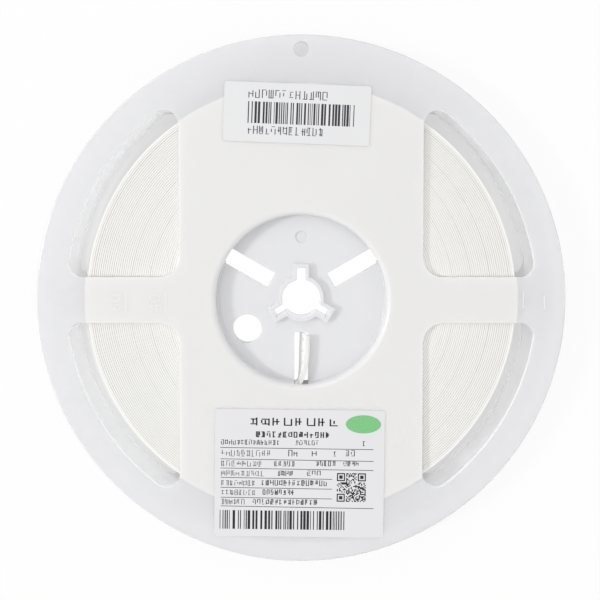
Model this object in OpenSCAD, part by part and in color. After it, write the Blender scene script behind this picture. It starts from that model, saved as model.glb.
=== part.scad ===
// Component reel for 8 mm paper carrier tape: two moulded halves, the wound tape, two paper labels.
// It lies on its rear flange. The origin is the centre of that flange's outer face, +Z is the winding
// axis towards the labelled side, and +Y runs from the hub to the small hole near the rim.

/* [Flanges] */
// Outside diameter of both flanges
flange_d = 178; // [170:1:190]
// Thickness of each flange
flange_t = 1.4; // [1.2:0.1:1.8]
// Radius on the two edges of the rim
rim_edge_r = 0.5; // [0.2:0.1:0.55]
// Diameter of the small hole near the rim of the front flange
rim_hole_d = 5; // [3:0.5:6]
// Distance from the rim to the centre of that hole
rim_hole_inset = 5; // [4.5:0.5:6]

/* [Windows] */
// Width of the rim band outside the windows
rim_band_w = 9.6; // [7:0.2:11]
// Width of the upright band that carries the labels
label_band_w = 82; // [74:1:90]
// Width of the two spokes beside the hub
spoke_w = 15.4; // [10:0.2:22]
// Corner radius where a spoke meets the label band
window_inner_r = 7; // [4:0.5:10]
// Corner radius where a spoke meets the rim band
window_rim_r = 4.5; // [3:0.5:7]
// Corner radius at the pointed end of a window
window_tip_r = 4.8; // [3:0.2:7]

/* [Hub] */
// Outside diameter of the winding barrel
hub_d = 60; // [56:1:66]
// Wall of the barrel
hub_wall = 1.1; // [0.9:0.1:1.5]
// Radius of the rounded lip round each hub recess
lip_r = 1.7; // [1.2:0.1:2]
// Thickness of each of the two webs, which lie back to back
web_t = 1.1; // [0.8:0.1:1.4]
// Fillet between the barrel and its web
web_fillet_r = 0.6; // [0.3:0.1:1]
// Diameter of the round hole in the webs
drive_hole_d = 10; // [6:0.5:11]
// Distance of that hole from the axis
drive_hole_at = 21.4; // [20.5:0.1:22]
// Diameter of the gate dimple in each web
gate_d = 4; // [2:0.5:6]
// Depth of the gate dimple
gate_depth = 0.35; // [0.2:0.05:0.5]

/* [Arbor] */
// Diameter of the arbor hole
arbor_d = 13.2; // [12.8:0.1:14]
// Width of the three keyways
key_w = 3; // [2:0.1:3.2]
// Reach of the keyways from the axis
key_reach = 10.6; // [10.1:0.1:11.2]
// Wall of the collar that follows the hole and its keyways
collar_wall = 1.2; // [0.8:0.1:1.5]
// Height of the collar above its web
collar_h = 2.1; // [1:0.1:3]

/* [Tape slots] */
// Width of the slot that holds the start of the tape
start_slot_w = 4.8; // [4:0.1:6]
// Width of the two other slots
spare_slot_w = 5.8; // [4:0.1:7]
// Distance from the axis to the inner end of the slots
slot_start = 11.9; // [11.5:0.1:14]
// Reach of the slots of the rear half past the barrel
slot_past_barrel = 1.6; // [1:0.1:1.7]
// Reach of the slots of the front half past the barrel
slit_past_barrel = 0.4; // [0.2:0.05:0.45]

/* [Carrier tape] */
// Width of the carrier tape
tape_w = 8; // [7.8:0.1:8.2]
// Thickness of the carrier tape with its cover tapes
tape_t = 0.6; // [0.5:0.05:0.65]
// Clearance on each side of the tape
side_clear = 0.6; // [0.4:0.1:1.2]
// Distance from the rim to the outermost turn
rim_to_tape = 16.2; // [12:0.1:40]
// Spacing of the turns
turn_pitch = 0.7; // [0.66:0.01:0.72]
// Depth of the groove between two turns
turn_groove = 0.25; // [0.15:0.05:0.35]
// Diameter of the feed holes
feed_hole_d = 1.5; // [1.4:0.05:1.6]
// Spacing of the feed holes
feed_pitch = 4; // [3.9:0.05:4.1]
// Height of the feed holes above the rear edge of the tape
feed_hole_rise = 3.4; // [1.75:0.05:4]
// Height of the free start of the tape above the barrel's lowest line
tail_rise = 17.4; // [14:0.2:18]
// Length of the adhesive strip over the outer end of the tape
end_strip_l = 28; // [15:1:40]
// Thickness of the adhesive strip
end_strip_t = 0.15; // [0.1:0.05:0.3]

/* [Labels] */
// Thickness of the label paper
label_t = 0.12; // [0.1:0.01:0.2]
// Corner radius of the labels
label_corner_r = 1; // [0.5:0.25:3]
// Length of the small label
small_label_l = 49; // [40:1:60]
// Height of the small label
small_label_h = 19.9; // [12:0.1:24]
// Distance from the rim to the centre of the small label
small_label_inset = 26.4; // [24:0.1:34]
// Length of the large label
large_label_l = 57.3; // [40:0.1:60]
// Height of the large label
large_label_h = 43.4; // [30:0.1:44]
// Distance from the rim to the centre of the large label
large_label_inset = 30.3; // [30:0.1:32]

/* [Hidden] */
$fn = 144;

flange_r = flange_d / 2;
inner_w = tape_w + 2 * side_clear;
reel_w = inner_w + 2 * flange_t;
mid_z = reel_w / 2;

hub_r = hub_d / 2;
recess_r = hub_r - hub_wall;
web_z = mid_z - web_t;                    // face of a web inside its recess
collar_z = web_z - collar_h;              // rim of a collar
bond_fillet_r = 0.5;                      // fillet between the barrel and the inside of a flange
slit_z = lip_r;                           // end of the slits through the front barrel wall
rear_slot_reach = hub_r + slot_past_barrel;   // the rear half is slotted past the barrel into its lip
front_slot_reach = hub_r + slit_past_barrel;  // the front half is slotted through the barrel only

window_r = flange_r - rim_band_w;
window_x = label_band_w / 2;
window_y = spoke_w / 2;

start_angle = 270;
spare_angles = [30, 150];
key_angles = [90, 210, 330];
drive_hole_angle = 210;
gate_angle = 90;
gate_at = 21;

tape_z = flange_t + side_clear;           // rear edge of the wound tape
barrel_clear = 0.1;                       // between the barrel and the first turn
pack_in_r = hub_r + barrel_clear;
turn_count = round((flange_r - rim_to_tape - pack_in_r) / turn_pitch);
pack_out_r = pack_in_r + turn_count * turn_pitch;
deep_turn_every = 9;                      // every so many turns the winding tension leaves a wider groove
strip_clear = 0.05;
strip_angle = 180;
tail_w = tape_w - 0.1;                    // the tail leaves the first turn from inside its edges
tail_hole_count = 4;

small_label_x = -1.4;
small_label_turn = -2.2;
large_label_x = -0.6;
large_label_turn = -0.7;

eps = 0.01;

// Start of the tape, from inside the first turn through the slit and up into the hub.
// Each entry holds x and the height over the barrel's lowest line, both in hundredths of tail_rise,
// and the lean of the tape in degrees.
tail_path = [
    [-25.3, -0.6, 0], [-17.2, -1.6, 0], [-11.5, -1.3, 0], [-6.9, 1.1, 1], [-3.4, 5.7, 4], [-0.6, 14.9, 9],
    [2.3, 26.4, 14], [4.6, 42.5, 18], [5.7, 59.8, 21], [6.6, 78.2, 22], [6.9, 100, 21]
];

// ---- profiles ----

// Corner between the directions +x and +y at a point, to be filled by a fillet of radius r
module fillet_corner(p, r) {
    translate(p) difference() {
        translate([-eps, -eps]) square(r + eps);
        translate([r, r]) circle(r);
    }
}

// Half section of one moulding, with its outer face at y = 0 and its joint at y = mid_z
module half_section() {
    difference() {
        union() {
            translate([recess_r, 0]) square([flange_r - recess_r, flange_t]);
            translate([recess_r, 0]) square([hub_wall, mid_z]);
            translate([0, web_z]) square([hub_r, web_t]);
            fillet_corner([hub_r, flange_t], bond_fillet_r);
            translate([recess_r, web_z]) rotate(180) fillet_corner([0, 0], web_fillet_r);
        }
        fillet_corner([recess_r, 0], lip_r);
        translate([flange_r, 0]) rotate(90) fillet_corner([0, 0], rim_edge_r);
        translate([flange_r, flange_t]) rotate(180) fillet_corner([0, 0], rim_edge_r);
    }
}

// Corner of a window between the tangent points a and b of a circle at c, with its tip at p
module window_corner(c, r, a, p, b) {
    difference() {
        polygon([c, a, p, b]);
        translate(c) circle(r);
    }
}

// One window in the first quadrant: a spoke below it, the label band beside it, the rim round it
module window_shape() {
    inner_c = [window_x + window_inner_r, window_y + window_inner_r];
    rim_d = window_r - window_rim_r;
    rim_c = [sqrt(pow(rim_d, 2) - pow(window_y + window_rim_r, 2)), window_y + window_rim_r];
    tip_d = window_r - window_tip_r;
    tip_c = [window_x + window_tip_r, sqrt(pow(tip_d, 2) - pow(window_x + window_tip_r, 2))];
    difference() {
        intersection() {
            circle(window_r);
            translate([window_x, window_y]) square(window_r);
        }
        window_corner(inner_c, window_inner_r, [inner_c.x, window_y - eps],
            [window_x - eps, window_y - eps], [window_x - eps, inner_c.y]);
        window_corner(rim_c, window_rim_r, rim_c * (window_r + eps) / rim_d,
            [window_r + eps, window_y - eps], [rim_c.x, window_y - eps]);
        window_corner(tip_c, window_tip_r, [window_x - eps, tip_c.y],
            [window_x - eps, window_r + eps], tip_c * (window_r + eps) / tip_d);
    }
}

// Outline of the arbor hole and its keyways, grown by a wall
module arbor_shape(wall) {
    circle(arbor_d / 2 + wall);
    for (a = key_angles)
        rotate(a) translate([0, -key_w / 2 - wall]) square([key_reach + wall, key_w + 2 * wall]);
}

// Radial slot from slot_start to reach
module slot_shape(a, w, reach) {
    rotate(a) translate([slot_start, -w / 2]) square([reach - slot_start, w]);
}

module rounded_plate(l, h, r, t) {
    linear_extrude(t) {
        square([l - 2 * r, h], center = true);
        square([l, h - 2 * r], center = true);
        for (x = [-1, 1], y = [-1, 1])
            translate([x * (l / 2 - r), y * (h / 2 - r)]) circle(r);
    }
}

// ---- moulded halves ----

// What both mouldings share, outer face down, with slots cut from from_z to the joint
module half_moulding(slot_reach, from_z) {
    difference() {
        union() {
            rotate_extrude() half_section();
            translate([0, 0, collar_z]) linear_extrude(mid_z - collar_z) arbor_shape(collar_wall);
        }
        translate([0, 0, -eps]) linear_extrude(mid_z + 2 * eps) arbor_shape(0);
        translate([0, 0, -eps]) linear_extrude(flange_t + 2 * eps)
            for (mx = [0, 1], my = [0, 1])
                mirror([mx, 0]) mirror([0, my]) window_shape();
        translate([0, 0, from_z]) linear_extrude(mid_z - from_z + eps) {
            slot_shape(start_angle, start_slot_w, slot_reach);
            for (a = spare_angles) slot_shape(a, spare_slot_w, slot_reach);
        }
        rotate(gate_angle) translate([gate_at, 0, web_z - eps]) cylinder(d = gate_d, h = gate_depth + eps);
    }
}

module drive_hole() {
    rotate(drive_hole_angle) translate([drive_hole_at, 0, -eps]) cylinder(d = drive_hole_d, h = reel_w);
}

module rear_half() {
    color("gainsboro") difference() {
        half_moulding(rear_slot_reach, -eps);
        drive_hole();
    }
}

module front_half() {
    color("whitesmoke") difference() {
        translate([0, 0, reel_w]) mirror([0, 0, 1]) half_moulding(front_slot_reach, slit_z);
        drive_hole();
        translate([0, flange_r - rim_hole_inset, mid_z]) cylinder(d = rim_hole_d, h = reel_w);
    }
}

// ---- carrier tape ----

function groove(i) = i % deep_turn_every == 4 ? 2 * turn_groove : turn_groove;
function turn_r(i) = pack_in_r + i * turn_pitch;

// Edge of the wound turns: a flat for each turn and a vee between each two
function turns_edge(z, out) = [
    for (i = [0 : turn_count - 1])
        let (r = turn_r(i))
        each [
            [r + (i > 0 ? (turn_pitch - tape_t) / 2 : 0), z],
            [r + turn_pitch - (i < turn_count - 1 ? (turn_pitch - tape_t) / 2 : 0), z],
            if (i < turn_count - 1) [r + turn_pitch, z - out * groove(i)]
        ]
];
function reversed(v) = [for (i = [len(v) - 1 : -1 : 0]) v[i]];

module wound_turns() {
    rotate_extrude()
        polygon(concat(turns_edge(tape_z, -1), reversed(turns_edge(tape_z + tape_w, 1))));
}

function tail_point(i) =
    [tail_path[i][0] * tail_rise / 100, tail_path[i][1] * tail_rise / 100 - pack_in_r, mid_z];
function tail_heading(i) =
    let (a = tail_point(max(i - 1, 0)), b = tail_point(min(i + 1, len(tail_path) - 1)))
    atan2(b.y - a.y, b.x - a.x);
// Axes of the tape's section: across its thickness and across its width, leaning to the right
function tail_across(i) =
    let (h = tail_heading(i), l = tail_path[i][2])
    [sin(h) * cos(l), -cos(h) * cos(l), -sin(l)];
function tail_up(i) =
    let (h = tail_heading(i), l = tail_path[i][2])
    [sin(h) * sin(l), -cos(h) * sin(l), cos(l)];
function tail_ring(i) = [
    for (k = [[-1, -1], [1, -1], [1, 1], [-1, 1]])
        tail_point(i) + k[0] * tape_t / 2 * tail_across(i) + k[1] * tail_w / 2 * tail_up(i)
];

module tail_strip() {
    n = len(tail_path);
    polyhedron(
        points = [for (i = [0 : n - 1]) each tail_ring(i)],
        faces = concat(
            [[0, 1, 2], [0, 2, 3]],
            [for (i = [0 : n - 2], k = [0 : 3]) each [
                [4 * i + k, 4 * i + 4 + (k + 1) % 4, 4 * i + (k + 1) % 4],
                [4 * i + k, 4 * i + 4 + k, 4 * i + 4 + (k + 1) % 4]
            ]],
            [[4 * n - 4, 4 * n - 2, 4 * n - 3], [4 * n - 4, 4 * n - 1, 4 * n - 2]]));
}

// Feed holes along the free part of the tail, counted back from its end
module tail_feed_holes() {
    last = len(tail_path) - 1;
    for (k = [0 : tail_hole_count - 1]) {
        y = tail_point(last).y - feed_pitch * (k + 0.5);
        i = [for (j = [1 : last]) if (tail_point(j).y >= y) j][0];
        f = (y - tail_point(i - 1).y) / (tail_point(i).y - tail_point(i - 1).y);
        p = tail_point(i - 1) * (1 - f) + tail_point(i) * f;
        translate(p + (feed_hole_rise - tape_w / 2) * tail_up(i))
            rotate([0, 90 + tail_path[i][2], 0]) cylinder(d = feed_hole_d, h = 4 * tape_t, center = true);
    }
}

module carrier_tape() {
    color("ivory") {
        wound_turns();
        difference() {
            tail_strip();
            tail_feed_holes();
        }
    }
}

module end_strip() {
    in_r = pack_out_r + strip_clear;
    sweep = end_strip_l / in_r * 180 / PI;
    color("wheat") translate([0, 0, tape_z]) rotate(strip_angle - sweep / 2)
        rotate_extrude(angle = sweep) translate([in_r, 0]) square([end_strip_t, tape_w]);
}

// ---- labels ----

module small_label() {
    color("white") translate([small_label_x, flange_r - small_label_inset, reel_w]) rotate(small_label_turn)
        rounded_plate(small_label_l, small_label_h, label_corner_r, label_t);
}

module large_label() {
    color("white") translate([large_label_x, large_label_inset - flange_r, reel_w]) rotate(large_label_turn)
        rounded_plate(large_label_l, large_label_h, label_corner_r, label_t);
}

front_half();
rear_half();
carrier_tape();
end_strip();
small_label();
large_label();
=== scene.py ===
import bpy
import math
import random
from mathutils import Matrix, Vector


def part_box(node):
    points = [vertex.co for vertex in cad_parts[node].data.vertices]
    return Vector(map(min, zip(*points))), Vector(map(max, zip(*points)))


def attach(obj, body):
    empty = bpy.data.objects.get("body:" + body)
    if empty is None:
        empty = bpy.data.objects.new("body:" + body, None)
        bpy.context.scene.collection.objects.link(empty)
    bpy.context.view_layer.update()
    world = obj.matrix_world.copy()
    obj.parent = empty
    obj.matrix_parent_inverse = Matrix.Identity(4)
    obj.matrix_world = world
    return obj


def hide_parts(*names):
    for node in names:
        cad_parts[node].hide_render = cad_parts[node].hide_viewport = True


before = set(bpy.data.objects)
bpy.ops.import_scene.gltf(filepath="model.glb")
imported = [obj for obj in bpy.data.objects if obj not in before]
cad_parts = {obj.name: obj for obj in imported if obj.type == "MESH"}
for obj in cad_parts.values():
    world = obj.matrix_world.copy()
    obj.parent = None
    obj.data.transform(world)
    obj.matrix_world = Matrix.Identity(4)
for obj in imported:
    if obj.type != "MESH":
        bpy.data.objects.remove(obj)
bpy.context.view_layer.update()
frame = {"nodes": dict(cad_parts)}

mm = 0.001
nodes = frame["nodes"]


def boxOf(node):
    # the low and the high corner of a node, in millimetres
    low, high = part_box(node)
    return [v / mm for v in low], [v / mm for v in high]


frontZ = boxOf("front_half")[1][2]
tapeLow, tapeHigh = boxOf("carrier_tape")
tapeR = tapeHigh[0]


def fromScreen(*shade):
    # a shade as it is read on a screen, 0 to 255, as the linear colour that a socket takes
    parts = [c / 255 for c in shade]
    return tuple(c / 12.92 if c <= 0.04045 else ((c + 0.055) / 1.055) ** 2.4 for c in parts)


# view and light

view = {
    "lens": 36.75, "sensor": 36.0, "aside": (-0.4, 38.0), "overFront": 205.0,
    "tilt": 1.3, "shift": (0.0, -0.1647), "clipStart": 10.0,
}
light = {
    "ambient": (0.797, 0.799, 0.8),
    # each lamp has its azimuth and elevation in degrees, distance and size in millimetres, and watts
    "lamps": {
        "key": (179, 37, 1800, 280, 10.0),
        "fill": (115, 45, 1800, 1000, 3.2),
        "rim": (-8, 34, 1800, 80, 1.4),
    },
}


def addCamera():
    data = bpy.data.cameras.new("overheadCamera")
    data.lens = view["lens"]
    data.sensor_width = view["sensor"]
    data.shift_x, data.shift_y = view["shift"]
    data.clip_start = view["clipStart"] * mm
    camera = bpy.data.objects.new("overheadCamera", data)
    x, y = view["aside"]
    camera.location = (x * mm, y * mm, (frontZ + view["overFront"]) * mm)
    camera.rotation_euler = (math.radians(-view["tilt"]), 0, 0)
    bpy.context.collection.objects.link(camera)
    bpy.context.scene.camera = camera


def addLamp(name, azimuth, elevation, distance, size, watts):
    data = bpy.data.lights.new(name, "AREA")
    data.shape = "DISK"
    data.size = size * mm
    data.energy = watts
    lamp = bpy.data.objects.new(name, data)
    a, e = math.radians(azimuth), math.radians(elevation)
    toLamp = Vector((math.cos(a) * math.cos(e), math.sin(a) * math.cos(e), math.sin(e)))
    lamp.location = toLamp * distance * mm
    lamp.rotation_euler = toLamp.to_track_quat("Z", "Y").to_euler()
    bpy.context.collection.objects.link(lamp)


addCamera()
for name, lamp in light["lamps"].items():
    addLamp(name, *lamp)
bpy.context.scene.view_settings.view_transform = "Standard"
print("view and light are set")


# shader sums

edgeSamples = 6


class Link:
    # one socket, so that shader maths can be written as plain sums

    def __init__(self, finish, socket):
        self.finish = finish
        self.socket = socket

    def sum(self, operation, *values):
        return self.finish.make("ShaderNodeMath", {"operation": operation}, dict(enumerate(values)))

    def __add__(self, other):
        return self.sum("ADD", self, other)

    def __radd__(self, other):
        return self.sum("ADD", other, self)

    def __sub__(self, other):
        return self.sum("SUBTRACT", self, other)

    def __rsub__(self, other):
        return self.sum("SUBTRACT", other, self)

    def __mul__(self, other):
        return self.sum("MULTIPLY", self, other)

    def __rmul__(self, other):
        return self.sum("MULTIPLY", other, self)

    def __truediv__(self, other):
        return self.sum("DIVIDE", self, other)

    def __rtruediv__(self, other):
        return self.sum("DIVIDE", other, self)


class Finish:
    # the nodes of one material, or of the world

    def __init__(self, owner):
        self.owner = bpy.data.materials.new(owner) if isinstance(owner, str) else owner
        self.owner.use_nodes = True
        self.tree = self.owner.node_tree
        self.tree.nodes.clear()
        self.known = {}

    def place(self):
        # where a point is, in millimetres
        if "place" not in self.known:
            at = self.make("ShaderNodeTexCoord", out="Object")
            self.known["place"] = self.make("ShaderNodeVectorMath", {"operation": "SCALE"},
                                            {0: at, "Scale": 1 / mm})
        return self.known["place"]

    def make(self, kind, settings=None, sockets=None, out=0):
        node = self.tree.nodes.new(kind)
        for key, value in (settings or {}).items():
            setattr(node, key, value)
        for key, value in (sockets or {}).items():
            if isinstance(value, Link):
                self.tree.links.new(value.socket, node.inputs[key])
            else:
                node.inputs[key].default_value = value
        return Link(self, node.outputs[out]) if node.outputs else node

    def noise(self, size, detail=2.0, rough=0.5, stretch=(1, 1, 1), shift=0.0):
        # grain about so many millimetres across
        at = self.make("ShaderNodeVectorMath", {"operation": "MULTIPLY"}, {0: self.place(), 1: stretch})
        at = self.make("ShaderNodeVectorMath", {"operation": "ADD"}, {0: at, 1: (shift, shift, shift)})
        return self.make("ShaderNodeTexNoise", None, {"Vector": at, "Scale": 1 / size, "Detail": detail,
                                                     "Roughness": rough})

    def step(self, value, start, end, low=0.0, high=1.0):
        # from low to high as value goes from start to end
        return self.make("ShaderNodeMapRange", {"interpolation_type": "SMOOTHSTEP"},
                         {"Value": value, "From Min": start, "From Max": end, "To Min": low, "To Max": high})

    def blend(self, share, first, second, kind="MIX"):
        def whole(shade):
            return shade if isinstance(shade, Link) else (*shade, 1)
        return self.make("ShaderNodeMix", {"data_type": "RGBA", "blend_type": kind},
                         {0: share, 6: whole(first), 7: whole(second)}, out=2)

    def grey(self, level):
        return self.make("ShaderNodeCombineColor", None, {0: level, 1: level, 2: level})

    def radius(self):
        # distance from the axis of the reel, in millimetres
        flat = self.make("ShaderNodeVectorMath", {"operation": "MULTIPLY"}, {0: self.place(), 1: (1, 1, 0)})
        return self.make("ShaderNodeVectorMath", {"operation": "LENGTH"}, {0: flat}, out="Value")

    def axis(self, name):
        return self.make("ShaderNodeSeparateXYZ", None, {0: self.place()}, out=name)

    def bump(self, height, depth, strength=1.0, rounded=0.0):
        sockets = {"Height": height, "Distance": depth * mm, "Strength": strength}
        if rounded:   # edges catch the light as if they had this radius
            edge = self.make("ShaderNodeBevel", {"samples": edgeSamples}, {"Radius": rounded * mm})
            sockets["Normal"] = edge
        return self.make("ShaderNodeBump", None, sockets)

    def surface(self, sockets):
        skin = self.make("ShaderNodeBsdfPrincipled", None, sockets)
        self.make("ShaderNodeOutputMaterial", None, {"Surface": skin})
        return self.owner


def dress(node, material):
    # gives a CAD node its finish
    nodes[node].data.materials.clear()
    nodes[node].data.materials.append(material)


def solidFrom(name, verts, faces, material):
    # an object from points in millimetres
    mesh = bpy.data.meshes.new(name)
    mesh.from_pydata([tuple(c * mm for c in v) for v in verts], [], faces)
    mesh.materials.append(material)
    piece = bpy.data.objects.new(name, mesh)
    bpy.context.collection.objects.link(piece)
    return piece


# floor and surroundings

floor = {
    "size": 2600, "drop": 0.02, "shade": (240, 240, 241),
    # how much of the plain white shows: outside the reel, in the gap beside the tape, and in the hub
    "white": 0.87, "whiteFrom": (79.4, 80.4), "gapWhite": 0.3, "gapFrom": (60, 62),
    "hubWhite": 1.0, "hubTo": (33, 35),
}


def addStudio():
    # even light all round, and plain white where the eye looks past the floor
    studio = Finish(bpy.data.worlds.new("studio"))
    seen = studio.make("ShaderNodeLightPath", out="Is Camera Ray")
    shade = studio.blend(seen, light["ambient"], (1, 1, 1))
    glow = studio.make("ShaderNodeBackground", None, {"Color": shade})
    studio.make("ShaderNodeOutputWorld", None, {"Surface": glow})
    bpy.context.scene.world = studio.owner


def addFloor():
    finish = Finish("paleFloor")
    seen = finish.make("ShaderNodeLightPath", out="Is Camera Ray")
    for kind in ("Is Glossy Ray", "Is Transmission Ray"):
        seen = seen.sum("MAXIMUM", seen, finish.make("ShaderNodeLightPath", out=kind))
    r = finish.radius()
    hub = finish.step(r, *floor["hubTo"], floor["hubWhite"], 0.0)
    gap = finish.step(r, *floor["gapFrom"], 0.0, floor["gapWhite"])
    outside = finish.step(r, *floor["whiteFrom"], 0.0, floor["white"] - floor["gapWhite"])
    share = seen * (hub + gap + outside)
    matte = finish.make("ShaderNodeBsdfDiffuse", None, {"Color": (*fromScreen(*floor["shade"]), 1)})
    white = finish.make("ShaderNodeEmission", None, {"Color": (1, 1, 1, 1), "Strength": 1.0})
    both = finish.make("ShaderNodeMixShader", None, {0: share, 1: matte, 2: white})
    finish.make("ShaderNodeOutputMaterial", None, {"Surface": both})
    half = floor["size"] / 2
    corners = [(-half, -half, 0), (half, -half, 0), (half, half, 0), (-half, half, 0)]
    plane = solidFrom("floor", corners, [(0, 1, 2, 3)], finish.owner)
    plane.location.z = -floor["drop"] * mm


addStudio()
addFloor()
print("floor is laid")


# moulded halves

plastic = {
    # beside the tape the rear half's shade is painted lighter, as painted light in the shaded space between
    # the flanges
    "overTape": (234, 233, 231), "overGap": (234, 234, 236), "rearGapPaintedLight": (243, 243, 244),
    # the raised collar's shade is painted darker, as painted shade for the extra light that it catches
    "inHub": (233, 233, 235), "collar": (222, 222, 225),
    "roughness": 0.37, "roughnessRange": 0.1, "coat": 0.8, "coatRoughness": 0.13, "edgeRadius": 0.35,
    "milky": 0.5, "depth": 3.0, "gapOpaque": {"front_half": 0.68, "rear_half": 0.4},
    # sizes of the cloudy patches, the flow lines and the fine grain, and the bump that they make
    "cloud": 26, "cloudLow": 0.985, "cloudRange": 0.03, "flow": 5, "grain": 0.35,
    "bumpDepth": 0.012, "bump": 0.6,
    # radii where one shade gives way to the next, from the tape's own radius for the first two
    "tapeFade": (-1.2, 0.8), "gapFade": (-0.4, 0.4), "hubFade": (28.5, 30.5), "collarFade": (17, 18),
    # how far from the joint of the halves a web ends and its collar's painted shade begins
    "webTop": (1.5, 1.8),
    # painted glow in the steep walls of the holes, up to a radius in the hub and between two radii in the
    # windows
    "hubPaintedGlow": 0.15, "hubPaintedGlowTo": (23, 24), "windowPaintedGlow": 0.34, "windowFrom": (34, 36), "windowTo": (80, 81),
    "steep": (0.1, 0.5),
}


def fadeOf(name):
    # a pair of radii counted from the outermost turn
    return [tapeR + r for r in plastic[name]]


def milkyPlastic(node, seed):
    finish = Finish(node + "Plastic")
    r = finish.radius()
    cloud = finish.noise(plastic["cloud"], 3, 0.5, shift=seed)
    grain = finish.noise(plastic["grain"], 2, 0.6, shift=seed)
    flow = finish.noise(plastic["flow"], 4, 0.55, (1, 0.25, 1), shift=seed)
    # beyond the tape the rear half takes its painted lighter shade
    outer = plastic["overGap" if node == "front_half" else "rearGapPaintedLight"]
    shade = finish.blend(finish.step(r, *fadeOf("tapeFade"), 1.0, 0.0), fromScreen(*outer),
                         fromScreen(*plastic["overTape"]))
    shade = finish.blend(finish.step(r, *plastic["hubFade"], 1.0, 0.0), shade, fromScreen(*plastic["inHub"]))
    # the raised collar, away from the joint of the halves, gets a painted darker shade
    fromJoint = finish.axis("Z") - frontZ / 2
    paintedCollarShadeMask = finish.step(fromJoint * fromJoint, *[height ** 2 for height in plastic["webTop"]])
    paintedCollarShadeMask = paintedCollarShadeMask * finish.step(r, *plastic["collarFade"], 1.0, 0.0)
    shade = finish.blend(paintedCollarShadeMask, shade, fromScreen(*plastic["collar"]))
    level = plastic["cloudLow"] + plastic["cloudRange"] * cloud
    shade = finish.blend(1.0, shade, finish.grey(level), "MULTIPLY")
    # the narrow walls of holes and windows get a painted glow, which stands in for light that the milky
    # plastic would carry into their shade
    normal = finish.make("ShaderNodeNewGeometry", out="True Normal")
    up = finish.make("ShaderNodeSeparateXYZ", None, {0: normal}, "Z")
    wall = finish.step(up * up, *plastic["steep"], 1.0, 0.0)
    # painted glow in the hub's walls, and next in the windows' walls
    inHub = finish.step(r, *plastic["hubPaintedGlowTo"], plastic["hubPaintedGlow"], 0.0)
    windowPaintedGlowShare = finish.step(r, *plastic["windowFrom"], 0.0, plastic["windowPaintedGlow"])
    windowPaintedGlowShare = windowPaintedGlowShare * finish.step(r, *plastic["windowTo"], 1.0, 0.0)
    return finish.surface({
        "Base Color": shade, "Roughness": plastic["roughness"] + plastic["roughnessRange"] * flow,
        "Alpha": 1 - finish.step(r, *fadeOf("gapFade")) * (1 - plastic["gapOpaque"][node]),
        "IOR": 1.5, "Specular IOR Level": 0.4,
        "Subsurface Weight": plastic["milky"], "Subsurface Radius": (1, 1, 1),
        "Subsurface Scale": plastic["depth"] * mm,
        "Coat Weight": plastic["coat"], "Coat Roughness": plastic["coatRoughness"],
        # the painted glow goes on the steep walls only
        "Emission Color": finish.grey(wall * (inHub + windowPaintedGlowShare)), "Emission Strength": 1.0,
        "Normal": finish.bump(grain * 0.5 + flow * 0.5, plastic["bumpDepth"], plastic["bump"],
                              plastic["edgeRadius"]),
    })


dress("front_half", milkyPlastic("front_half", 3.0))
dress("rear_half", milkyPlastic("rear_half", 11.0))
print("moulded halves are dressed")


# raised marks on the spokes

spokeMarks = {
    "height": 0.02, "sunk": 0.02, "stagger": 0.003, "weight": 0.26, "flare": 0.08, "shade": (239, 238, 236),
    # each tick is x, lower y and upper y; each number is its digits, x and y of its middle, height and turn
    "ticks": [(-59.0, -4.0, 2.5), (-45.6, -4.0, 2.5), (74.6, -2.6, 2.5), (81.7, -3.0, 1.5)],
    "numbers": [("60", -62.6, -0.8, 3.6, 90), ("40", -49.2, -0.8, 3.6, 90)],
    # strokes of a digit in a box one wide and so tall, and the spacing of the boxes
    "digitTall": 1.6, "digitStep": 1.4,
    "digits": {
        "0": [(0.5, 1.6), (0.1, 1.3), (0, 0.8), (0.1, 0.3), (0.5, 0), (0.9, 0.3), (1, 0.8), (0.9, 1.3),
              (0.5, 1.6)],
        "4": [(0.75, 0), (0.75, 1.6), (0, 0.5), (1, 0.5)],
        "6": [(0.9, 1.6), (0.35, 1.25), (0, 0.5), (0.2, 0.1), (0.5, 0), (0.85, 0.15), (1, 0.5), (0.8, 0.85),
              (0.45, 0.9), (0.05, 0.6)],
    },
}


def strokeBlock(start, end, raised, verts, faces):
    # a low block along a stroke, narrower at its top, as a mould leaves it
    along = (Vector(end) - Vector(start)).normalized()
    aside = Vector((-along.y, along.x))
    base = len(verts)
    for z, flare in ((frontZ - spokeMarks["sunk"], spokeMarks["flare"]), (frontZ + raised, 0.0)):
        half = spokeMarks["weight"] / 2 + flare
        for point, way in ((Vector(start), -1), (Vector(end), 1)):
            for side in (-1, 1):
                spot = point + along * way * half + aside * side * way * half
                verts.append((spot.x, spot.y, z))
    faces.append(tuple(base + k for k in (3, 2, 1, 0)))
    faces.append(tuple(base + k for k in (4, 5, 6, 7)))
    for k in range(4):
        n = (k + 1) % 4
        faces.append((base + k, base + n, base + 4 + n, base + 4 + k))


def digitLine(digit, place, x, y, tall, turn):
    # the corners of a digit's stroke, with the middle of its box so many widths from x and y
    unit = tall / spokeMarks["digitTall"]
    c, s = math.cos(math.radians(turn)), math.sin(math.radians(turn))
    line = []
    for u, v in spokeMarks["digits"][digit]:
        du, dv = (place - 0.5 + u) * unit, (v - spokeMarks["digitTall"] / 2) * unit
        line.append((x + du * c - dv * s, y + du * s + dv * c))
    return line


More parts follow.
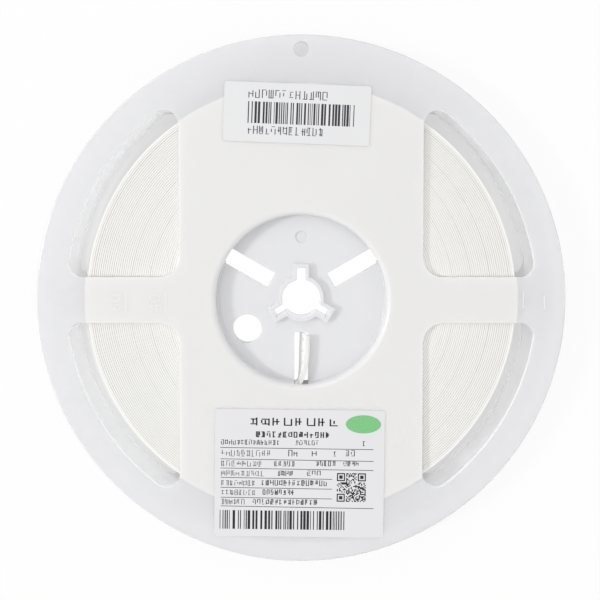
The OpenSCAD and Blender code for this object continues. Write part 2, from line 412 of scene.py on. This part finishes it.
def addSpokeMarks():
    verts, faces = [], []
    height = spokeMarks["height"]
    for x, low, high in spokeMarks["ticks"]:
        strokeBlock((x, low), (x, high), height, verts, faces)
    for digits, x, y, tall, turn in spokeMarks["numbers"]:
        for i, digit in enumerate(digits):
            place = (i - (len(digits) - 1) / 2) * spokeMarks["digitStep"]
            line = digitLine(digit, place, x, y, tall, turn)
            for k, (start, end) in enumerate(zip(line, line[1:])):
                # strokes that meet differ a little in height, so that their tops don't share a plane
                strokeBlock(start, end, height + spokeMarks["stagger"] * (k % 3), verts, faces)
    finish = Finish("raisedPlastic")
    grain = finish.noise(plastic["grain"], 2, 0.6)
    skin = finish.surface({"Base Color": (*fromScreen(*spokeMarks["shade"]), 1),
                           "Roughness": 0.4 + 0.1 * grain, "Specular IOR Level": 0.4,
                           "Normal": finish.bump(grain, 0.004, 0.4)})
    piece = solidFrom("spokeMarks", verts, faces, skin)
    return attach(piece, "root")


addSpokeMarks()
print("spokes carry their marks")


# wound tape

tape = {
    "turns": 60, "innerR": 30.1, "pitch": 0.7, "around": 192, "wide": 7.9, "hole": 1.5, "holeRise": 3.4,
    # shades of the paper's edge and the painted shade of the grooves between turns, and the sizes of its
    # fibres and patches
    "shade": (240, 239, 236), "groove": (219, 217, 213), "grooveTo": 0.45,
    "fibre": 0.18, "mottle": 4, "mottleLow": 0.97, "mottleRange": 0.05,
    # depth of the grooves near the hub and at the outside, and every so many turns a deeper one
    "grooveInner": 0.1, "grooveOuter": 0.24, "deepEvery": 9, "deepAt": 4, "deeper": 1.7,
    # each turn's edges fall off a little, and no turn is quite round or level
    "edgeIn": 0.07, "edgeDrop": 0.05, "wander": 0.03, "wanderSeed": 500, "lift": 0.05,
    "waves": (1, 2, 3, 5), "waveSum": 1.6,
    # the pack stands a little nearer the front flange towards the hub
    "rise": 0.45, "riseOver": 30,
}


def wave(seed, a):
    # a slow closed wave round the reel, from -1 to 1
    dice = random.Random(seed)
    total = 0
    for k in tape["waves"]:
        total += dice.uniform(-1, 1) * math.sin(k * a + dice.uniform(0, 6.28)) / k
    return total / tape["waveSum"]


def paperEdges():
    finish = Finish("cutPaper")
    turn = (finish.radius() - tape["innerR"]) / tape["pitch"]
    inTurn = turn.sum("FRACT", turn)
    fromGroove = (0.5 - (inTurn - 0.5).sum("ABSOLUTE", inTurn - 0.5)) * 2  # 0 in a groove, 1 in mid turn
    fibre = finish.noise(tape["fibre"], 3, 0.6)
    mottle = finish.noise(tape["mottle"], 3, 0.6)
    # the grooves between turns get a painted shade
    shade = finish.blend(finish.step(fromGroove, 0.0, tape["grooveTo"]), fromScreen(*tape["groove"]),
                         fromScreen(*tape["shade"]))
    level = tape["mottleLow"] + tape["mottleRange"] * mottle
    return finish.surface({"Base Color": finish.blend(1.0, shade, finish.grey(level), "MULTIPLY"),
                           "Roughness": 0.75, "Specular IOR Level": 0.25,
                           "Normal": finish.bump(fibre, 0.01, 0.5)})


def turnRings():
    # each ring is its radius, its height over the tape's edge and its turn
    rings = []
    last = tape["turns"] - 1
    for i in range(tape["turns"]):
        r = tape["innerR"] + i * tape["pitch"]
        depth = tape["grooveInner"] + (tape["grooveOuter"] - tape["grooveInner"]) * i / last
        if i % tape["deepEvery"] == tape["deepAt"]:
            depth *= tape["deeper"]
        if i:
            rings.append((r, -depth, i))
        rings.append((r + tape["edgeIn"] if i else r, -tape["edgeDrop"] if i else 0, i))
        rings.append((r + tape["pitch"] / 2, 0.0, i))
        rings.append((r + tape["pitch"] - (tape["edgeIn"] if i < last else 0), -tape["edgeDrop"], i))
    return rings


def addTurns():
    around, rings = tape["around"], turnRings()
    verts, faces = [], []
    for side in (1, -1):
        for r, over, i in rings:
            for k in range(around):
                a = 2 * math.pi * k / around
                move = tape["wander"] * wave(i + tape["wanderSeed"], a) if 0 < i < tape["turns"] - 1 else 0
                out = over + tape["lift"] * (wave(i, a) - 1)
                rise = tape["rise"] * max(0.0, min(1.0, (tapeR - r) / tape["riseOver"]))
                z = tapeHigh[2] + rise + out if side > 0 else tapeLow[2] - out
                verts.append(((r + move) * math.cos(a), (r + move) * math.sin(a), z))
    count = len(rings)
    for s in range(2):
        base = s * count * around
        for j in range(count - 1):
            for k in range(around):
                n = (k + 1) % around
                quad = (base + j * around + k, base + (j + 1) * around + k,
                        base + (j + 1) * around + n, base + j * around + n)
                faces.append(quad if s == 0 else quad[::-1])
    for j, flip in ((0, False), (count - 1, True)):
        for k in range(around):
            n = (k + 1) % around
            quad = (j * around + k, j * around + n, (count + j) * around + n, (count + j) * around + k)
            faces.append(quad[::-1] if flip else quad)
    turns = solidFrom("woundTurns", verts, faces, paperEdges())
    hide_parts("carrier_tape")
    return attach(turns, "root")


woundTurns = addTurns()
print("tape is wound:", len(woundTurns.data.polygons), "faces")


# last turn, seen from the side

lastTurn = {
    "inner": 72.12, "cells": 114, "perSide": 4, "holeDepth": 0.45, "split": 4.75,
    "pocketRise": 6.2, "pocketWide": 1.1, "pocketTall": 1.9, "pocketDepth": 0.1,
    "paper": (244, 243, 239), "fibre": 0.25,
    # the cover tape lies between these heights, and no deeper than this
    "cover": (232, 232, 231), "coverFrom": (4.7, 4.8), "coverTo": (7.7, 7.8), "coverDeep": (-0.3, -0.25),
}


def coveredPaper():
    finish = Finish("coveredPaper")
    rise = finish.axis("Z") - tapeLow[2]
    inCover = finish.step(rise, *lastTurn["coverFrom"]) * finish.step(rise, *lastTurn["coverTo"], 1.0, 0.0)
    inCover = inCover * finish.step(finish.radius(), *[tapeR + r for r in lastTurn["coverDeep"]])
    fibre = finish.noise(lastTurn["fibre"], 3, 0.6)
    shade = finish.blend(inCover, fromScreen(*lastTurn["paper"]), fromScreen(*lastTurn["cover"]))
    return finish.surface({"Base Color": shade, "Roughness": 0.72 - 0.4 * inCover, "Specular IOR Level": 0.3,
                           "Normal": finish.bump(fibre, 0.008, 0.5)})


def cellRing(x0, y0, x1, y1):
    # points round a rectangle, as many to each side
    corners = [(x0, y0), (x1, y0), (x1, y1), (x0, y1)]
    ring, count = [], lastTurn["perSide"]
    for k in range(4):
        (xa, ya), (xb, yb) = corners[k], corners[(k + 1) % 4]
        ring += [(xa + (xb - xa) * t / count, ya + (yb - ya) * t / count) for t in range(count)]
    return ring


def addLastTurn():
    inner, wide = lastTurn["inner"], tape["wide"]
    perSide, around = lastTurn["perSide"], 4 * lastTurn["perSide"]
    pitch = 2 * math.pi * tapeR / lastTurn["cells"]
    low = (tapeLow[2] + tapeHigh[2] - wide) / 2
    verts, faces, known = [], [], {}

    def point(x, y, r):
        # a point at x along the tape, y up from its rear edge and r from the axis
        key = (round(x / pitch / lastTurn["cells"] % 1, 7) % 1, round(y, 4), round(r, 4))
        if key not in known:
            a = x / tapeR
            known[key] = len(verts)
            verts.append((r * math.cos(a), r * math.sin(a), low + y))
        return known[key]

    for i in range(lastTurn["cells"]):
        x = i * pitch
        middle = x + pitch / 2
        hole = []
        for k in range(around):
            # the first point faces the cell's first corner
            a = math.radians(-135 + 360 / around * k)
            hole.append((middle + math.cos(a) * tape["hole"] / 2,
                         tape["holeRise"] + math.sin(a) * tape["hole"] / 2))
        halfWide, halfTall = lastTurn["pocketWide"] / 2, lastTurn["pocketTall"] / 2
        pocket = cellRing(middle - halfWide, lastTurn["pocketRise"] - halfTall,
                          middle + halfWide, lastTurn["pocketRise"] + halfTall)
        for outline, rows, depth in ((hole, (0, lastTurn["split"]), lastTurn["holeDepth"]),
                                     (pocket, (lastTurn["split"], wide), lastTurn["pocketDepth"])):
            edge = [point(u, v, tapeR) for u, v in cellRing(x, rows[0], x + pitch, rows[1])]
            lip = [point(u, v, tapeR) for u, v in outline]
            deep = [point(u, v, tapeR - depth) for u, v in outline]
            for k in range(around):
                n = (k + 1) % around
                faces.append((edge[k], edge[n], lip[n], lip[k]))
                faces.append((lip[k], lip[n], deep[n], deep[k]))
            faces.append(tuple(deep))
        for k in range(perSide):
            u0, u1 = x + pitch * k / perSide, x + pitch * (k + 1) / perSide
            faces.append((point(u0, 0, tapeR), point(u0, 0, inner), point(u1, 0, inner), point(u1, 0, tapeR)))
            faces.append((point(u0, wide, tapeR), point(u1, wide, tapeR), point(u1, wide, inner),
                          point(u0, wide, inner)))
            faces.append((point(u0, 0, inner), point(u0, wide, inner), point(u1, wide, inner),
                          point(u1, 0, inner)))
    piece = solidFrom("lastTurn", verts, faces, coveredPaper())
    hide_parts("carrier_tape")
    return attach(piece, "root")


addLastTurn()
print("last turn has its holes and pockets")


# free start of the tape

tail = {
    "rise": 17.4, "thick": 0.6, "steps": 6, "holes": 4, "pitch": 4.0, "holeSides": 20, "cutterHalf": 1.2,
    "cutEdge": 0.04, "cutAngle": 50,
    # the last two set a painted glow on the paper low in its slot, and the heights over which it fades out
    "shade": (238, 238, 235), "darker": 5, "fibre": 0.5, "mottle": 3, "glow": 0.22, "paintedGlowTo": (5, 9),
    # each point is x, y as hundredths of the rise, and the lean in degrees
    "path": [(-25.3, -0.6, 0), (-17.2, -1.6, 0), (-11.5, -1.3, 0), (-6.9, 1.1, 1), (-3.4, 5.7, 4),
             (-0.6, 14.9, 9), (2.3, 26.4, 14), (4.6, 42.5, 18), (5.7, 59.8, 21), (6.6, 78.2, 22),
             (6.9, 100, 21)],
}


def smoothPath(points, steps):
    # a curve through the points, with so many steps between each two
    fine = []
    for i in range(len(points) - 1):
        four = [Vector(points[max(0, min(len(points) - 1, i + k))]) for k in (-1, 0, 1, 2)]
        for s in range(steps):
            t = s / steps
            fine.append(0.5 * (2 * four[1] + (four[2] - four[0]) * t
                               + (2 * four[0] - 5 * four[1] + 4 * four[2] - four[3]) * t * t
                               + (3 * four[1] - 3 * four[2] + four[3] - four[0]) * t ** 3))
    return fine + [Vector(points[-1])]


def cutBy(piece, cutter):
    # takes the cutter's shape out of the piece, and leaves a plain mesh
    cut = piece.modifiers.new("cut", "BOOLEAN")
    cut.operation = "DIFFERENCE"
    cut.solver = "EXACT"
    cut.object = cutter
    bpy.context.view_layer.update()
    shown = piece.evaluated_get(bpy.context.evaluated_depsgraph_get())
    whole = bpy.data.meshes.new_from_object(shown)
    piece.modifiers.clear()
    piece.data = whole
    bpy.data.objects.remove(cutter)


def carrierPaper():
    finish = Finish("carrierPaper")
    fibre = finish.noise(tail["fibre"], 4, 0.6)
    mottle = finish.noise(tail["mottle"], 3, 0.5)
    dark = fromScreen(*[c - tail["darker"] for c in tail["shade"]])
    shade = finish.blend(mottle, dark, fromScreen(*tail["shade"]))
    # low in its slot the thin paper gets a painted glow, standing in for the pale ground showing through it
    glow = finish.step(finish.axis("Z"), *tail["paintedGlowTo"], tail["glow"], 0.0)
    return finish.surface({"Base Color": shade, "Roughness": 0.7, "Specular IOR Level": 0.3,
                           "Emission Color": finish.grey(glow), "Emission Strength": 1.0,
                           "Normal": finish.bump(fibre, 0.01, 0.5)})


def tailFrames():
    # along the tape's start: the middle of the tape, the way across its thickness and the way up its width
    unit = tail["rise"] / 100
    line = [(x * unit, y * unit - tape["innerR"], lean) for x, y, lean in tail["path"]]
    line = smoothPath(line, tail["steps"])
    frames = []
    for i, (x, y, lean) in enumerate(line):
        ahead, behind = line[min(i + 1, len(line) - 1)], line[max(i - 1, 0)]
        heading, tilt = math.atan2(ahead[1] - behind[1], ahead[0] - behind[0]), math.radians(lean)
        aside = Vector((math.sin(heading), -math.cos(heading), 0))
        across = aside * math.cos(tilt) - Vector((0, 0, math.sin(tilt)))
        up = aside * math.sin(tilt) + Vector((0, 0, math.cos(tilt)))
        frames.append((Vector((x, y, (tapeLow[2] + tapeHigh[2]) / 2)), across, up))
    return frames


def feedHole(centre, across, material):
    # a round cutter along the tape's thickness
    turn = across.to_track_quat("Z", "Y")
    ring, count, r = [], tail["holeSides"], tape["hole"] / 2
    for end in (-1, 1):
        for j in range(count):
            a = 2 * math.pi * j / count
            ring.append(centre + turn @ Vector((math.cos(a) * r, math.sin(a) * r, end * tail["cutterHalf"])))
    faces = [(j, (j + 1) % count, count + (j + 1) % count, count + j) for j in range(count)]
    faces += [tuple(range(count - 1, -1, -1)), tuple(range(count, 2 * count))]
    return solidFrom("feedHole", ring, faces, material)


def addTail():
    frames, material = tailFrames(), carrierPaper()
    verts, faces = [], []
    for here, across, up in frames:
        for a, u in ((-1, -1), (1, -1), (1, 1), (-1, 1)):
            verts.append(here + across * a * tail["thick"] / 2 + up * u * tape["wide"] / 2)
    for i in range(len(frames) - 1):
        for k in range(4):
            n = (k + 1) % 4
            faces.append((4 * i + k, 4 * i + n, 4 * i + 4 + n, 4 * i + 4 + k))
    last = 4 * (len(frames) - 1)
    faces += [(3, 2, 1, 0), (last, last + 1, last + 2, last + 3)]
    piece = solidFrom("tapeStart", verts, faces, material)
    for k in range(tail["holes"]):
        y = frames[-1][0].y - tail["pitch"] * (k + 0.5)
        here, across, up = min(frames, key=lambda frame: abs(frame[0].y - y))
        centre = Vector((here.x, y, here.z)) + up * (tape["holeRise"] - tape["wide"] / 2)
        cutBy(piece, feedHole(centre, across, material))
    edge = piece.modifiers.new("cutEdges", "BEVEL")
    edge.width = tail["cutEdge"] * mm
    edge.limit_method = "ANGLE"
    edge.angle_limit = math.radians(tail["cutAngle"])
    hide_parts("carrier_tape")
    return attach(piece, "root")


addTail()
print("free start of the tape stands in its slot")


# labels

marks = {
    # what strokes, bars and their gaps are picked from, as shares of a word mark or of a bar's unit
    "inset": 0.09, "wide": (0.66, 0.8), "shortBy": (0, 0, 0.12, 0.3), "thin": 0.7,
    "posts": ((0, 1), (0, 1), (0, 0.55), (0.45, 1), (0, 0.5, 1), (0.3,)),
    "across": ((0, 1), (1,), (0,), (0.5,), (0.15, 0.85)), "acrossFrom": (0, 0.15), "acrossTo": (0.8, 1),
    "bar": (0.6, 0.8, 1, 1, 1.7, 2.1), "gap": (0.7, 1, 1, 1.8, 2.4), "lastBar": 0.8,
    "corner": 7, "filled": 0.5, "thick": 0.012, "seed": 41,
    # sizes of the paper's fibres and patches and of the ink's grain, and how much darker they get
    "fibre": 0.4, "cloud": 14, "darker": 3, "inkGrain": 0.22, "inkWorn": (0.35, 0.7), "inkDark": 0.75,
}
smallPrint = {
    "paper": (228, 228, 229), "ink": (58, 58, 66), "turn": -2.2,
    "rows": [(-16.6, 10.3, 4.7, 7.5, 2.25, 0.3), (-16.6, 9.2, -7.3, -4.6, 2.0, 0.3)],
    "bars": (-16.4, 19.1, -3.7, 3.5, 0.36),
}
largePrint = {
    "paper": (227, 226, 229), "ink": (40, 40, 46), "turn": -0.7,
    # each row is left, right, bottom, top, spacing of its marks and weight of a stroke
    "rows": [
        (-17.4, 13.5, 16.2, 18.9, 4.0, 0.52), (-15.0, 10.4, 12.2, 14.2, 1.85, 0.42),
        (-26.7, -6.6, 9.6, 11.3, 1.35, 0.24), (-1.7, 6.7, 9.7, 11.3, 1.35, 0.24),
        (21.0, 22.5, 9.6, 11.2, 1.4, 0.26),
        (-26.7, -9.8, 5.6, 7.8, 1.62, 0.2), (-4.0, -0.4, 5.8, 8.0, 1.8, 0.3), (3.9, 6.0, 5.9, 7.9, 2.0, 0.3),
        (11.3, 12.6, 6.0, 7.6, 1.3, 0.3), (15.2, 19.1, 6.1, 8.1, 1.9, 0.26),
        (-26.6, -12.6, 2.2, 4.1, 1.7, 0.2), (-8.7, -1.4, 2.4, 4.2, 1.45, 0.26),
        (5.4, 12.3, 2.6, 4.4, 1.35, 0.26), (14.7, 20.2, 2.7, 4.5, 1.35, 0.26),
        (-26.6, -11.8, -1.1, 0.7, 1.62, 0.2), (-7.6, -2.1, -0.9, 0.9, 1.37, 0.26),
        (2.4, 7.4, -0.8, 1.0, 1.6, 0.28),
        (-26.5, -14.6, -4.4, -2.6, 1.5, 0.2), (-13.0, 9.6, -4.2, -2.3, 1.5, 0.28),
        (-26.5, -14.5, -7.6, -5.8, 1.5, 0.2), (-12.5, -1.5, -7.4, -5.6, 1.38, 0.3),
        (-26.5, -18.3, -10.8, -9.0, 1.35, 0.2), (-15.8, 6.3, -10.7, -8.9, 1.47, 0.28),
    ],
    # each rule is left, height there, right, height there
    "rules": [(-26.8, 8.55, 24.9, 8.42), (-26.7, 4.69, 25.0, 4.4), (-26.7, 1.55, 25.0, 1.3),
              (-26.6, -1.65, 11.1, -1.9), (-26.6, -5.05, 11.1, -5.25), (-26.5, -8.43, 11.1, -8.6),
              (-26.5, -11.4, 25.2, -11.75)],
    "ruleWeight": 0.2,
    # left, right, bottom, top and the width of a plain bar; then left, bottom, side and cells to a side
    "bars": (-26.8, 15.4, -19.2, -12.8, 0.4), "square": (12.7, -9.5, 9.8, 25),
    # the oval has the x and y of its middle and half its width and height
    "oval": (21.4, 17.0, 5.95, 3.1), "ovalPoints": 64, "green": (132, 205, 138),
}


def labelPaper(name, shade):
    finish = Finish(name)
    fibre = finish.noise(marks["fibre"], 3, 0.6)
    cloud = finish.noise(marks["cloud"], 2, 0.5)
    colour = finish.blend(cloud, fromScreen(*[c - marks["darker"] for c in shade]), fromScreen(*shade))
    return finish.surface({"Base Color": colour, "Roughness": 0.48 + 0.08 * fibre, "Specular IOR Level": 0.35,
                           "Normal": finish.bump(fibre, 0.006, 0.4)})


def inkFinish(name, shade):
    finish = Finish(name)
    grain = finish.noise(marks["inkGrain"], 2, 0.6)
    darker = tuple(c * marks["inkDark"] for c in fromScreen(*shade))
    colour = finish.blend(finish.step(grain, *marks["inkWorn"]), fromScreen(*shade), darker)
    return finish.surface({"Base Color": colour, "Roughness": 0.5 + 0.1 * grain, "Specular IOR Level": 0.3,
                           "Normal": finish.bump(grain, 0.003, 0.4)})


def box(x0, y0, x1, y1):
    return [(x0, y0), (x1, y0), (x1, y1), (x0, y1)]


def wordMarks(row, dice):
    # strokes that stand where words do, and spell nothing
    left, right, bottom, top, pitch, weight = row
    shapes = []
    count = max(1, round((right - left) / pitch))
    pitch = (right - left) / count
    tall = top - bottom
    for i in range(count):
        x0 = left + pitch * (i + marks["inset"])
        wide = pitch * dice.uniform(*marks["wide"])
        for f in dice.choice(marks["posts"]):
            x = x0 + f * (wide - weight)
            low = bottom + dice.choice(marks["shortBy"]) * tall
            high = top - dice.choice(marks["shortBy"]) * tall
            shapes.append(box(x, low, x + weight, high))
        thin = weight * marks["thin"]
        for f in dice.choice(marks["across"]):
            y = bottom + f * (tall - thin)
            start, end = dice.uniform(*marks["acrossFrom"]), dice.uniform(*marks["acrossTo"])
            shapes.append(box(x0 + start * wide, y, x0 + end * wide, y + thin))
    return shapes


def barMarks(bars, dice):
    left, right, bottom, top, unit = bars
    shapes, x = [], left
    while x < right - 2 * unit:
        wide = unit * dice.choice(marks["bar"])
        shapes.append(box(x, bottom, min(x + wide, right), top))
        x += wide + unit * dice.choice(marks["gap"])
    shapes.append(box(right - marks["lastBar"] * unit, bottom, right, top))
    return shapes


def squareMarks(square, dice):
    # cells filled by chance, with a framed corner mark in three of the corners
    left, bottom, side, count = square
    cell, corner = side / count, marks["corner"]
    taken, shapes = set(), []
    for cx, cy in ((0, 0), (0, count - corner), (count - corner, count - corner)):
        x, y, s = left + cx * cell, bottom + cy * cell, corner * cell
        shapes += [box(x, y, x + s, y + cell), box(x, y + s - cell, x + s, y + s),
                   box(x, y + cell, x + cell, y + s - cell), box(x + s - cell, y + cell, x + s, y + s - cell),
                   box(x + 2 * cell, y + 2 * cell, x + s - 2 * cell, y + s - 2 * cell)]
        taken |= {(cx + i, cy + j) for i in range(-1, corner + 1) for j in range(-1, corner + 1)}
    for i in range(count):
        for j in range(count):
            if (i, j) not in taken and dice.random() < marks["filled"]:
                x, y = left + i * cell, bottom + j * cell
                shapes.append(box(x, y, x + cell, y + cell))
    return shapes


def printOn(name, node, settings, shapes, material):
    # thin ink on the top of a label, from shapes in the label's own millimetres
    low, high = boxOf(node)
    cx, cy, top = (low[0] + high[0]) / 2, (low[1] + high[1]) / 2, high[2]
    c, s = math.cos(math.radians(settings["turn"])), math.sin(math.radians(settings["turn"]))
    verts, faces = [], []
    for shape in shapes:
        n, base = len(shape), len(verts)
        for z in (top, top + marks["thick"]):
            verts += [(cx + x * c - y * s, cy + x * s + y * c, z) for x, y in shape]
        faces.append(tuple(base + n + k for k in range(n)))
        faces.append(tuple(base + n - 1 - k for k in range(n)))
        faces += [(base + k, base + (k + 1) % n, base + n + (k + 1) % n, base + n + k) for k in range(n)]
    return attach(solidFrom(name, verts, faces, material), "root")


def addPrint():
    dress("small_label", labelPaper("small_labelPaper", smallPrint["paper"]))
    dress("large_label", labelPaper("large_labelPaper", largePrint["paper"]))
    dice = random.Random(marks["seed"])
    ink = inkFinish("smallLabelInk", smallPrint["ink"])
    shapes = [mark for row in smallPrint["rows"] for mark in wordMarks(row, dice)]
    shapes += barMarks(smallPrint["bars"], dice)
    printOn("smallLabelPrint", "small_label", smallPrint, shapes, ink)
    ink = inkFinish("largeLabelInk", largePrint["ink"])
    shapes = [mark for row in largePrint["rows"] for mark in wordMarks(row, dice)]
    shapes += barMarks(largePrint["bars"], dice) + squareMarks(largePrint["square"], dice)
    half = largePrint["ruleWeight"] / 2
    shapes += [[(x0, y0 - half), (x1, y1 - half), (x1, y1 + half), (x0, y0 + half)]
               for x0, y0, x1, y1 in largePrint["rules"]]
    printOn("largeLabelPrint", "large_label", largePrint, shapes, ink)
    x, y, wide, tall = largePrint["oval"]
    around = [2 * math.pi * k / largePrint["ovalPoints"] for k in range(largePrint["ovalPoints"])]
    oval = [(x + wide * math.cos(a), y + tall * math.sin(a)) for a in around]
    ink = inkFinish("greenInk", largePrint["green"])
    printOn("largeLabelGreen", "large_label", largePrint, [oval], ink)


addPrint()
print("labels are printed")


# strip over the outer end of the tape

strip = {"shade": (238, 234, 224), "darker": 9, "crepe": 0.5, "mottle": 2.5}


def crepedPaper():
    finish = Finish("crepedPaper")
    crepe = finish.noise(strip["crepe"], 3, 0.6, (1, 0.25, 1))
    mottle = finish.noise(strip["mottle"], 3, 0.5)
    dark = fromScreen(*[c - strip["darker"] for c in strip["shade"]])
    shade = finish.blend(mottle, dark, fromScreen(*strip["shade"]))
    return finish.surface({"Base Color": shade, "Roughness": 0.62, "Specular IOR Level": 0.3,
                           "Normal": finish.bump(crepe, 0.05, 0.7)})


dress("end_strip", crepedPaper())
print("end strip is dressed")
